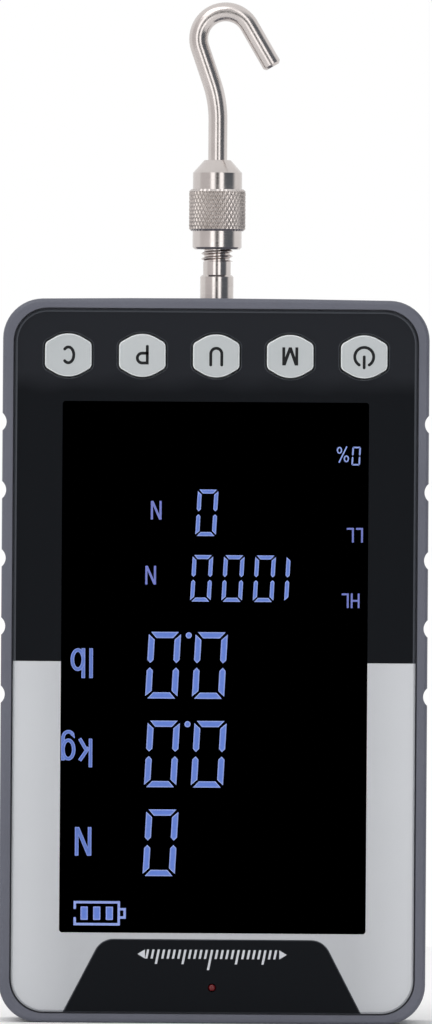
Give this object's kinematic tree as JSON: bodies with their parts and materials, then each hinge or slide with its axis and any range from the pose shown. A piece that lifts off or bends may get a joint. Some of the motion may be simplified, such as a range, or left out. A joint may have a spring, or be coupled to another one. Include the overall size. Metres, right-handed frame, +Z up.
{
  "type": "digital force gauge",
  "caption": "Handheld force gauge: slab-sided case with side grip notches, tall display window, row of hexagonal keys and a threaded measuring shaft carrying a screw-on swivel hook.",
  "frame": {"origin": "where the measuring axis meets the flat base of the case", "axes": "+Z up along the measuring axis towards the hook, -Y out of the display, +X to the right when the display is seen from the front"},
  "size_m": [0.08, 0.036, 0.1921],
  "materials": {
    "case_plastic": "fine moulded texture",
    "seal_rubber": "matt",
    "panel_plastic": "satin",
    "silver_trim": "satin silver",
    "rating_plate": "satin",
    "window": "polished",
    "display_glass": "polished",
    "light_guide": "clear",
    "inner_plastic": "moulded",
    "key_plastic": "satin",
    "indicator": "translucent red",
    "board_laminate": "lacquered",
    "lead_cover": "PVC",
    "battery_sleeve": "shrink sleeve",
    "plated_steel": "zinc plated",
    "chassis_steel": "zinc plated",
    "cell_aluminium": "milled",
    "gauge_foil": "polyimide foil",
    "brass": "turned",
    "stainless": "turned and polished stainless"
  },
  "bodies": {
    "case": {"front_shell": "case_plastic", "rear_shell": "case_plastic", "case_seal": "seal_rubber", "shaft_seal": "seal_rubber", "contact_strips": "seal_rubber", "front_panel": "panel_plastic", "type_plate": "panel_plastic", "silver_overlay": "silver_trim", "rear_label": "rating_plate", "display_lens": "window", "lcd_glass": "display_glass", "backlight": "light_guide", "lcd_frame": "inner_plastic", "battery_cradle": "inner_plastic", "buzzer": "inner_plastic", "board_connectors": "inner_plastic", "board_chips": "inner_plastic", "switch_bodies": "inner_plastic", "light_pipe": "indicator", "charge_led": "indicator", "main_board": "board_laminate", "battery_lead": "lead_cover", "sensor_lead": "lead_cover", "battery": "battery_sleeve", "usb_socket": "plated_steel", "board_screws": "plated_steel", "case_screws": "plated_steel", "chassis_screws": "plated_steel", "load_cell_bolt": "plated_steel", "chassis": "chassis_steel", "load_cell": "cell_aluminium", "strain_gauges": "gauge_foil", "stand_inserts": "brass", "guide_bush": "brass"},
    "hook": {"hook": "stainless", "hook_collar": "stainless"},
    "coupling": {"coupling_nut": "stainless", "knurled_sleeve": "stainless"},
    "washer": {"swivel_washer": "brass"},
    "shaft": {"shaft": "stainless", "shaft_locknut": "stainless"},
    "key_clear": {"key_clear": "key_plastic", "switch_plunger_clear": "inner_plastic"},
    "key_peak": {"key_peak": "key_plastic", "switch_plunger_peak": "inner_plastic"},
    "key_unit": {"key_unit": "key_plastic", "switch_plunger_unit": "inner_plastic"},
    "key_menu": {"key_menu": "key_plastic", "switch_plunger_menu": "inner_plastic"},
    "key_power": {"key_power": "key_plastic", "switch_plunger_power": "inner_plastic"}
  },
  "joints": [
    {"name": "key_clear_press", "type": "slide", "parent": "case", "child": "key_clear", "axis": [0, 1, 0], "range_m": [0, 0.0006], "stiffness_N_per_m": 2000},
    {"name": "key_peak_press", "type": "slide", "parent": "case", "child": "key_peak", "axis": [0, 1, 0], "range_m": [0, 0.0006], "stiffness_N_per_m": 2000},
    {"name": "key_unit_press", "type": "slide", "parent": "case", "child": "key_unit", "axis": [0, 1, 0], "range_m": [0, 0.0006], "stiffness_N_per_m": 2000},
    {"name": "key_menu_press", "type": "slide", "parent": "case", "child": "key_menu", "axis": [0, 1, 0], "range_m": [0, 0.0006], "stiffness_N_per_m": 2000},
    {"name": "key_power_press", "type": "slide", "parent": "case", "child": "key_power", "axis": [0, 1, 0], "range_m": [0, 0.0006], "stiffness_N_per_m": 2000},
    {"name": "shaft_deflection", "type": "slide", "parent": "case", "child": "shaft", "axis": [0, 0, 1], "range_m": [-0.0003, 0.0003], "stiffness_N_per_m": 5000, "deforming": ["load_cell"]},
    {"name": "coupling_advance", "type": "slide", "parent": "shaft", "child": "washer", "axis": [0, 0, 1], "range_m": [0, 0.007]},
    {"name": "coupling_turn", "type": "hinge", "parent": "washer", "child": "coupling", "pos_m": [0, 0, 0.15], "axis": [0, 0, 1], "range_deg": [0, 2520.1]},
    {"name": "hook_swivel", "type": "hinge", "parent": "washer", "child": "hook", "pos_m": [0, 0, 0.17], "axis": [0, 0, 1], "continuous": true}
  ],
  "couplings": [
    {"joint": "coupling_turn", "follows": "coupling_advance", "rad_per_m": 6283.2}
  ]
}
